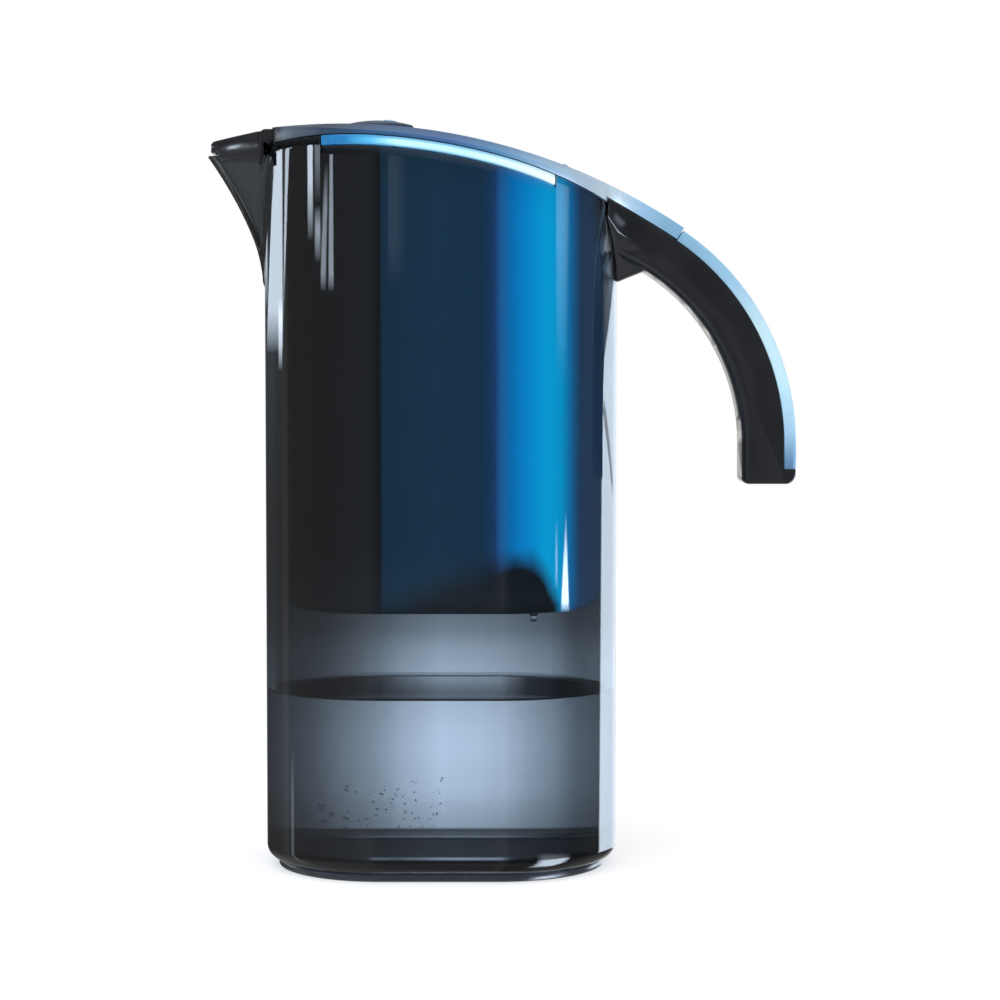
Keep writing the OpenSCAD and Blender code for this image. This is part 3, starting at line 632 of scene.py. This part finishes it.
def makeJug():
    wall, lip, edge, straightTop, steps = [
        jug[key] for key in ("wall", "lip", "lipEdge", "straightTop", "edgeSteps")]
    upper = [i / jug["upperSteps"] for i in range(1, jug["upperSteps"] + 1)]
    outerFoot, innerFoot = jug["foot"] + jug["edgeR"] + jug["hold"], jug["floor"] + jug["innerEdgeR"] + jug["hold"]
    loops = footLoops(jugLoop, 0, jug["foot"], jug["edgeR"], steps)
    loops += [jugLoop(0, z) for z in (outerFoot, *jug["levels"], straightTop)]
    loops += [jugLoop(0, straightTop, share, lip) for share in upper]
    for inset, drop in ((edge, edge), (lip, 0), (wall - lip, 0), (wall - edge, edge)):
        loops.append(jugLoop(inset, straightTop, 1, drop))
    loops += [jugLoop(wall, straightTop, share, lip) for share in reversed(upper)]
    loops += [jugLoop(wall, z) for z in (straightTop, *reversed(jug["levels"]), innerFoot)]
    loops += reversed(footLoops(jugLoop, wall, jug["floor"], jug["innerEdgeR"], steps))
    piece = loopPiece("jugShell", loops)
    return finish(piece, "jug", finishes["smoked_clear"], ["jug_body"], jug["smooth"])


# The water reaches a little into the wall, so that no air shows between them
water = {
    "level": 67, "sink": 0.1, "hold": 0.4, "middle": 40, "brim": 0.3, "meniscus": 0.9, "smooth": 60,
    "surface": ((0.4, 0.55), (1.0, 0.2), (2.0, 0.03), (2.6, 0), (3.0, 0)),   # distance in, share of the meniscus
}


def makeWater():
    brim = water["level"] + water["meniscus"]
    inset, low = jug["wall"] - water["sink"], jug["floor"] - water["sink"]
    loops = footLoops(jugLoop, inset, low, jug["innerEdgeR"], jug["edgeSteps"])
    walls = (jug["floor"] + jug["innerEdgeR"] + water["hold"], water["middle"], brim - water["brim"], brim)
    loops += [jugLoop(inset, z) for z in walls]
    loops += [jugLoop(inset + out, water["level"] + water["meniscus"] * rise) for out, rise in water["surface"]]
    piece = loopPiece("water", loops)
    return finish(piece, "jug", waterFinish, (), water["smooth"])


# The drop that hangs from the hopper's foot; its shape is in radii out and up from its top
hangingDrop = {
    "x": 34.6, "y": -27, "r": 1.5, "sink": 0.15, "around": 24, "smooth": 70,
    "shape": ((1.5, 0), (1.1, -0.25), (0.85, -0.7), (0.9, -1.1), (0.95, -1.5), (0.75, -1.9), (0.35, -2.15)),
}


def makeDrip():
    top, r = hopper["low"] + hangingDrop["sink"], hangingDrop["r"]
    profile = [(r * a, top + r * b) for a, b in hangingDrop["shape"]]
    piece = turnedPiece("drip", profile, hangingDrop["x"], hangingDrop["y"], hangingDrop["around"])
    return finish(piece, "hopper", waterFinish, (), hangingDrop["smooth"])


# Small bubbles that cling to the jug's far wall under water
bubbles = {
    "seed": 11, "count": 90, "fromX": -40, "toX": 0, "lowZ": 8.5, "highZ": 29, "crowding": 1.6,
    "leastR": 0.22, "mostR": 0.46, "flattest": 0.8, "gap": 0.25, "smooth": 80,
}


def makeBubbles():
    dice = random.Random(bubbles["seed"])
    clearSelection()
    made = []
    for _ in range(bubbles["count"]):
        x = dice.uniform(bubbles["fromX"], bubbles["toX"])
        z = bubbles["lowZ"] + (bubbles["highZ"] - bubbles["lowZ"]) * dice.random() ** bubbles["crowding"]
        r = dice.uniform(bubbles["leastR"], bubbles["mostR"])
        y = halfWidth(jug["endR"] - jug["wall"], x) - r - bubbles["gap"]
        clearSelection()
        bpy.ops.mesh.primitive_ico_sphere_add(subdivisions=2, radius=r * mm, location=Vector((x, y, z)) * mm)
        bpy.ops.transform.resize(value=(1, 1, dice.uniform(bubbles["flattest"], 1)))
        made.append(bpy.context.object)
    clearSelection()
    for bubble in made:
        bubble.select_set(True)
    bpy.context.view_layer.objects.active = made[0]
    bpy.ops.object.join()
    piece = bpy.context.object
    piece.name = piece.data.name = "bubbles"
    settle(piece)
    return finish(piece, "jug", bubbleFinish, (), bubbles["smooth"])


hopper = {
    "r": 40.2, "front": -58.5, "frontEase": 1.2, "low": 98, "wall": 2, "edgeR": 9, "edgeSteps": 8, "topGap": 0.4,
    "levels": (150, 200), "hold": 0.5, "smooth": 50, "cartridgeX": 20, "outletR": 8.8, "drillPast": 2,
    "socketR": 25.6, "socketInR": 23.6, "socketH": 22, "socketSink": 0.2, "socketEdge": 0.3, "socketLead": 0.6,
}


def hopperLoop(inset, z, topShare=None):
    half = []
    for station in stations:
        x, y = planPoint(station, hopper["r"] - inset)
        front = hopper["front"] + inset
        x = -smoothMin(-x, -front, hopper["frontEase"]) if station[0] == "front" else x
        top = arcZ(topLine["rimR"] - hopper["topGap"], x)
        height = z if topShare is None else z + (top - z) * topShare
        half.append((x, y, height))
    return metres(mirrored(half))


def makeHopper():
    wall, low, edgeR, steps = [hopper[key] for key in ("wall", "low", "edgeR", "edgeSteps")]
    levels, straightTop = (low + edgeR + hopper["hold"], *hopper["levels"]), hopper["levels"][-1]
    loops = footLoops(hopperLoop, 0, low, edgeR, steps)
    loops += [hopperLoop(0, z) for z in levels]
    loops += [hopperLoop(0, straightTop, 1), hopperLoop(wall, straightTop, 1)]
    loops += [hopperLoop(wall, z) for z in reversed(levels)]
    loops += reversed(footLoops(hopperLoop, wall, low + wall, edgeR - wall, steps))
    piece = loopPiece("hopperShell", loops)
    r, past = hopper["outletR"], hopper["drillPast"]
    drill = turnedPiece("outletDrill", [(r, low - past), (r, low + wall + past)], hopper["cartridgeX"])
    pick(piece)
    cut = piece.modifiers.new("outlet", "BOOLEAN")
    cut.operation, cut.object = "DIFFERENCE", drill
    applyModifiers(piece)
    bpy.data.objects.remove(drill)
    return finish(piece, "hopper", finishes["pearl_blue"], ["hopper"], hopper["smooth"])


# The ring that the cartridge drops into
def makeSocket():
    floor = hopper["low"] + hopper["wall"]
    low, high = floor - hopper["socketSink"], floor + hopper["socketH"]
    outer, inner, edge, lead = [hopper[key] for key in ("socketR", "socketInR", "socketEdge", "socketLead")]
    profile = [(outer, low), (outer, high - edge), (outer - edge, high), (inner + lead, high),
               (inner, high - lead), (inner, low), (outer, low)]
    piece = turnedPiece("hopperSocket", profile, hopper["cartridgeX"], ring=True)
    return finish(piece, "hopper", finishes["pearl_blue"], ["hopper"])


# The strips that hang the hopper on the jug's rim
strip = {"half": 42.4, "steps": 44, "thick": 3.6, "innerR": 38.6, "edge": 0.45, "corner": 50, "smooth": 50}


def makeStrip(side):
    half, steps = strip["half"], strip["steps"]
    loops = []
    for i in range(steps + 1):
        x = -half + 2 * half * i / steps
        out, inside = halfWidth(jug["endR"], x), halfWidth(strip["innerR"], x)
        top, low = arcZ(topLine["rimR"], x), arcZ(topLine["rimR"] - strip["thick"], x)
        section = [(x, out, low), (x, out, top), (x, inside, top), (x, inside, low)]
        loops.append(metres([(a, side * b, c) for a, b, c in section]))
    piece = loopPiece("hopperStripNear" if side < 0 else "hopperStripFar", loops)
    easeEdges(piece, strip["edge"], strip["corner"])
    return finish(piece, "hopper", stripFinish, ["hopper"], strip["smooth"])


waterFinish = tintedClear("waterClear", ior=1.333, lampTint=(0.97, 0.98, 0.99), tint=(0.985, 0.99, 0.995))
bubbleFinish = tintedClear("bubbleClear", ior=0.84, lampTint=(1, 1, 1), tint=(0.97, 0.98, 0.99))
stripFinish = stripBlue()
makeJug()
makeWater()
makeBubbles()
print("jug and water made")
makeHopper()
makeSocket()
makeDrip()
makeStrip(-1)
makeStrip(1)
print("hopper made")


# Parts that keep their shape get a copy with eased edges, in millimetres, which stands for them
easedParts = {
    "base_pad": ("basePad", 0.8), "handle_core": ("handleCore", 0.5), "handle_trim": ("handleTrim", 0.4),
    "lid_shell": ("lidShell", 0.2), "fill_flap": ("fillFlap", 0.2), "spout_flap": ("spoutHood", 0.4),
    "lid_liner": ("lidLiner", 0.25), "lid_seal": ("lidSeal", 0.2), "cartridge_cap": ("cartridgeCap", 0.3),
    "cartridge_cup": ("cartridgeCup", 0.3), "indicator_bezel": ("indicatorBezel", 0.25),
    "indicator_lens": ("indicatorLens", 0.15), "indicator_button": ("indicatorButton", 0.2),
    "indicator_cover": ("indicatorCover", 0.2),
}
easing = {"merge": 0.03, "flat": 1, "smooth": 35}   # millimetres and degrees


def easedCopy(node, name, width):
    pick(frame["nodes"][node])
    bpy.ops.object.duplicate()
    piece = bpy.context.object
    piece.name = piece.data.name = name
    del piece["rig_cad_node"]
    openMesh(piece)
    bpy.ops.mesh.select_all(action="SELECT")
    bpy.ops.mesh.remove_doubles(threshold=easing["merge"] * mm)
    bpy.ops.mesh.dissolve_limited(angle_limit=math.radians(easing["flat"]))
    closeMesh()
    easeEdges(piece, width)
    return finish(piece, piece["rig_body"], finishes[slotOf[node]], [node], easing["smooth"])


for node, (name, width) in easedParts.items():
    easedCopy(node, name, width)
print("edges eased")


# What surrounds the jug. Bearings are in degrees: 0 in front, 90 on the handle's side, 180 behind; heights
# are degrees over the horizon. A panel is (left, right, foot, top, strength, soft sides, soft foot, soft top),
# and its left and right side each lean from a bearing at the top to one at the foot.
surround = {
    "ambient": 0.75, "panelTint": (0.86, 1.0, 1.17),
    # The ring and the seen panels are given by how bright they look in the jug's side, so they gain more
    # where it mirrors less
    "mirror": [(0, 1.0), (60, 0.98), (75, 0.9), (97, 0.68), (107, 0.56), (116, 0.44), (122, 0.37), (131, 0.265),
               (143, 0.167), (157, 0.095), (165, 0.06), (180, 0.04)],
    "mirrorScale": 25,
    "ring": [(-180, 0.9), (-172, 0.4), (-165, 0.07), (-157, 0.022), (-116, 0.022), (-112, 0.03), (-106, 0.03),
             (-103, 0.016), (-60, 0.012), (-12, 0.012), (-4, 0.004), (0, 0.002), (4, 0.009), (7, 0.007),
             (11, 0.0), (62, 0.0), (80, 0.002), (140, 0.02), (152, 0.06), (165, 0.4), (180, 0.9)],
    "ringHeight": [(7, 1.0), (8.5, 0.15), (30, 0.1)],
    "sky": [(-30, 0.3), (-14, 0), (12, 0), (45, 0.45), (90, 0.7)],
    "seenPanels": [
        ((-114, -152), (-111.5, -112), 1.0, 7, 0.62, 1.5, 1.0),          # streaks by the spout
        ((-120, -120), (-112, -113), 0.35, 1.5, 0.5, 1.5, 0.5),
        ((-103.5, -110.5), (-95, -109), 1.8, 7, 0.5, 1.5, 1.6),
        ((-174, -174), (-150, -150), 2.0, 4.9, 0.42, 4, 1, 0.5),
        ((-75, -75), (-69, -69), 3.75, 7, 0.62, 1.6, 1.4, 0.8),
        ((-66.5, -66.5), (-61.5, -61.5), 4.4, 6, 0.15, 2, 1),
        ((-66.5, -66.5), (-61.5, -61.5), 2.9, 3.6, 0.32, 2, 0.7),
        ((-55.5, -59), (-52.5, -54.5), 2.1, 4.3, 0.24, 1.6, 0.4, 1),
        ((-49.8, -51.8), (-47, -46.5), 2.1, 5.4, 0.28, 1.4, 0.4, 0.8),
        ((-2.62, -2.62), (-2.25, -2.25), 2.5, 7, 0.02, 0.25, 1),
        ((57, 59), (73, 70), 1.6, 7, 0.09, 4, 3.4),
        ((4.0, 4.0), (4.3, 4.3), 2.3, 2.9, 0.012, 0.25, 0.4, 0.4),       # on the handle's side
        ((4.75, 4.75), (5.1, 5.1), 1.4, 2.0, 0.012, 0.25, 0.4, 0.4),
        ((5.5, 5.5), (5.8, 5.8), -1.35, 0.5, 0.012, 0.25, 0.5, 0.5),
        ((152, 122), (168, 168), 0.2, 2.2, 0.62, 3, 0.3, 0.4),           # down the jug's back edge
        ((122, 116), (168, 168), -14, 0.2, 0.66, 3, 1, 0.3),
        ((119, 146), (127, 153), -2.6, -0.6, -0.45, 2.5, 0.4, 0.4),
    ],
    "lowPanels": [
        ((67.5, 64), (70, 72.5), -5.3, -3.8, 26, 2, 0.25, 1.5),          # on the hopper's side
        ((57.5, 57.5), (60, 60), -4.7, -3.8, 9, 2, 0.4, 1.0),
        ((42, 42), (72, 72), -50, -11.2, 14, 8, 12, 0.6),                # on the jug's foot
        ((-101, -101), (-97, -97), -45, -9, 1.2, 1.5, 8, 1),
    ],
    # What shows through clear plastic: a pool of light, by bearing, with one set of heights behind the jug and
    # one in front of it, and a bright slot behind it
    "pool": [(-180, 0.98), (-178.7, 1.0), (-172, 0.76), (-160, 0.5), (-140, 0.38), (-118, 0.4), (-98, 0.85),
             (0, 0.95), (98, 0.85), (118, 0.44), (140, 0.44), (160, 0.68), (172, 1.0), (180, 0.98)],
    "rearHeight": [(-80, 0.5), (-66, 0.5), (-64.5, 0.04), (-61.5, 0.04), (-60, 0.5), (-22, 0.55), (-18, 0.1),
                   (-13.5, 0.0), (-11, 0.42), (-10.2, 0.68), (-9.5, 1.02), (-8.4, 1.18), (-7.05, 0.86),
                   (-6.4, 0.68), (-5.7, 0.28), (-3, 0.2), (0, 0.5), (2, 0.8), (6.2, 0.8), (6.6, 0.05), (90, 0.06)],
    "frontHeight": [(-60, 0.6), (-14, 0.8), (-6, 0.6), (-4, 0.04), (90, 0.08)],
    "inFront": [(111.6, 1.0), (140.4, 0.0)],
    "slot": [(-180, 1.0), (-178.4, 1.0), (-177.8, 0.6), (-176.9, 0.0), (178.5, 0.0), (179.9, 0.9), (180, 1.0)],
    "slotHeight": [(6.3, 0.0), (6.6, 1.0), (6.94, 1.0), (7.11, 0.55), (7.35, 0.0)],
    "slotStrength": 1.3,
}
degreesOfHeight = 115   # that one unit of height is worth near the horizon


def bearingShare(degrees):
    return 0.5 + degrees / 360


def heightShare(degrees):
    return 0.5 + 0.5 * math.sin(math.radians(degrees))


def times(tree, a, b):
    return mathNode(tree, "MULTIPLY", a, b)


def total(tree, values):
    result = values[0]
    for value in values[1:]:
        result = mathNode(tree, "ADD", result, value)
    return result


# A soft-edged line that leans: 1 on one side of it, through one bearing at the top and one at the foot
def leaningEdge(tree, turn, height, bearings, top, foot, soft, side):
    atTop, atFoot = [bearingShare(bearing) for bearing in bearings]
    slope = (atTop - atFoot) / (heightShare(top) - heightShare(foot))
    offset = mathNode(tree, "MULTIPLY_ADD", height, -slope, slope * heightShare(foot) - atFoot)
    distance = mathNode(tree, "ADD", turn, offset)
    return mathNode(tree, "MULTIPLY_ADD", distance, side * 360 / soft, 0.5, clamp=True)


def panel(tree, turn, height, left, right, foot, top, strength, soft=1.2, softFoot=0.5, softTop=0.5):
    mask = None
    for level, ease in ((foot, degreesOfHeight / softFoot), (top, -degreesOfHeight / softTop)):
        limit = mathNode(tree, "MULTIPLY_ADD", height, ease, 0.5 - heightShare(level) * ease, clamp=True)
        mask = times(tree, mask, limit) if mask else limit
    for bearings, side in ((left, 1), (right, -1)):
        mask = times(tree, mask, leaningEdge(tree, turn, height, bearings, top, foot, soft, side))
    return times(tree, mask, strength)


# Gloss mirrors the panels, the ring and the sky; clear plastic shows the pool of light behind it
def studio():
    world = bpy.data.worlds.new("studio")
    bpy.context.scene.world = world
    world.use_nodes = True
    tree = world.node_tree
    background = tree.nodes["Background"]
    coordinates = tree.nodes.new("ShaderNodeTexCoord")
    split = tree.nodes.new("ShaderNodeSeparateXYZ")
    tree.links.new(coordinates.outputs["Generated"], split.inputs[0])
    x, y, z = split.outputs
    azimuth = mathNode(tree, "ARCTAN2", x, times(tree, y, -1))
    turn = mathNode(tree, "MULTIPLY_ADD", azimuth, 1 / (2 * math.pi), 0.5)
    height = mathNode(tree, "MULTIPLY_ADD", z, 0.5, 0.5)
    share = times(tree, mathNode(tree, "ABSOLUTE", azimuth), 1 / math.pi)   # 0 in front, 1 behind

    def byBearing(name):
        return rampNode(tree, turn, [(bearingShare(place), level) for place, level in surround[name]])

    def byHeight(name):
        return rampNode(tree, height, [(heightShare(place), level) for place, level in surround[name]])

    def byShare(name):
        return rampNode(tree, share, [(place / 180, level) for place, level in surround[name]])

    mirror = times(tree, byShare("mirror"), surround["mirrorScale"])
    gloss = mathNode(tree, "MULTIPLY_ADD", times(tree, byBearing("ring"), mirror), byHeight("ringHeight"),
                     byHeight("sky"))
    seen, low = [[panel(tree, turn, height, *given) for given in surround[name]]
                 for name in ("seenPanels", "lowPanels")]
    bright = times(tree, mathNode(tree, "MAXIMUM", total(tree, seen), 0), mirror)
    bright = total(tree, [bright, *low])

    through = mixColours(tree, byShare("inFront"), byHeight("rearHeight"), byHeight("frontHeight"))
    through = times(tree, through, byBearing("pool"))
    slot = times(tree, byBearing("slot"), byHeight("slotHeight"))
    through = mathNode(tree, "MULTIPLY_ADD", slot, surround["slotStrength"], through)

    rays = tree.nodes.new("ShaderNodeLightPath")
    clear = rays.outputs["Is Transmission Ray"]   # a ray through clear plastic counts as glossy too
    mirrorOnly = mathNode(tree, "SUBTRACT", rays.outputs["Is Glossy Ray"], clear, clamp=True)
    ambient = times(tree, rays.outputs["Is Diffuse Ray"], surround["ambient"])
    level = total(tree, [times(tree, clear, through), times(tree, mirrorOnly, gloss),
                         rays.outputs["Is Camera Ray"], ambient])
    tinted = tree.nodes.new("ShaderNodeVectorMath")
    tinted.operation = "SCALE"
    tinted.inputs[0].default_value = surround["panelTint"]
    tree.links.new(times(tree, mirrorOnly, bright), tinted.inputs["Scale"])
    whole = tree.nodes.new("ShaderNodeVectorMath")
    whole.operation = "ADD"
    tree.links.new(level, whole.inputs[0])
    tree.links.new(tinted.outputs[0], whole.inputs[1])
    tree.links.new(whole.outputs[0], background.inputs["Color"])
    print("studio lit")


# In metres and watts; the lamps light what is opaque, and no gloss or glass shows them
lampTarget = (0, 0, 0.15)
lamps = {
    "topLamp": {"place": (-0.3, -0.4, 1.5), "size": 1.0, "power": 14},
    "rearLamp": {"place": (0.9, 0.5, 0.9), "size": 0.8, "power": 6},
    "frontLamp": {"place": (0.3, -1.4, 0.7), "size": 0.8, "power": 8},
}


def softLamp(name, place, size, power):
    data = bpy.data.lights.new(name, "AREA")
    data.shape, data.size, data.energy = "SQUARE", size, power
    lamp = bpy.data.objects.new(name, data)
    lamp.location = place
    lamp.rotation_euler = (Vector(lampTarget) - Vector(place)).to_track_quat("-Z", "Y").to_euler()
    lamp.visible_glossy = False
    lamp.visible_transmission = False
    lamp.visible_camera = False
    bpy.context.scene.collection.objects.link(lamp)


# The floor keeps its shadows near the jug and fades to plain white further out, in metres
floorLook = {"size": 12, "place": (0, 3, 0), "colour": (0.9, 0.9, 0.9), "roughness": 0.9,
             "fadeFrom": 0.12, "fadeTo": 0.4, "leastGlow": 0.55}


def makeFloor():
    clearSelection()
    bpy.ops.mesh.primitive_plane_add(size=floorLook["size"], location=floorLook["place"])
    ground = bpy.context.object
    ground.name = "ground"
    settle(ground)
    material, tree, shader = newMaterial("paleFloor")
    feed(tree, shader.inputs["Base Color"], floorLook["colour"])
    shader.inputs["Roughness"].default_value = floorLook["roughness"]
    glow = tree.nodes.new("ShaderNodeEmission")
    mix = tree.nodes.new("ShaderNodeMixShader")
    rays = tree.nodes.new("ShaderNodeLightPath")
    coordinates = tree.nodes.new("ShaderNodeTexCoord")
    reach = tree.nodes.new("ShaderNodeVectorMath")
    reach.operation = "LENGTH"
    tree.links.new(coordinates.outputs["Object"], reach.inputs[0])
    fade = spreadNode(tree, reach.outputs["Value"], floorLook["fadeFrom"], floorLook["fadeTo"],
                      floorLook["leastGlow"])
    tree.links.new(times(tree, fade, rays.outputs["Is Camera Ray"]), mix.inputs[0])
    tree.links.new(shader.outputs[0], mix.inputs[1])
    tree.links.new(glow.outputs[0], mix.inputs[2])
    tree.links.new(mix.outputs[0], tree.nodes["Material Output"].inputs["Surface"])
    ground.data.materials.append(material)
    ground.visible_glossy = False
    ground.visible_transmission = False


# In millimetres and degrees
view = {"place": (22.4, -950, 186), "pitch": 2.86, "lens": 90}


def placeCamera():
    data = bpy.data.cameras.new("viewCamera")
    data.lens = view["lens"]
    eye = bpy.data.objects.new("viewCamera", data)
    eye.location = Vector(view["place"]) * mm
    eye.rotation_euler = (math.radians(90 - view["pitch"]), 0, 0)
    bpy.context.scene.collection.objects.link(eye)
    bpy.context.scene.camera = eye
    print("camera placed")


studio()
for name, lamp in lamps.items():
    softLamp(name, **lamp)
makeFloor()
placeCamera()

scene = bpy.context.scene
scene.view_settings.view_transform = "Standard"
scene.cycles.caustics_reflective = False
scene.cycles.caustics_refractive = False
scene.cycles.use_denoising = True
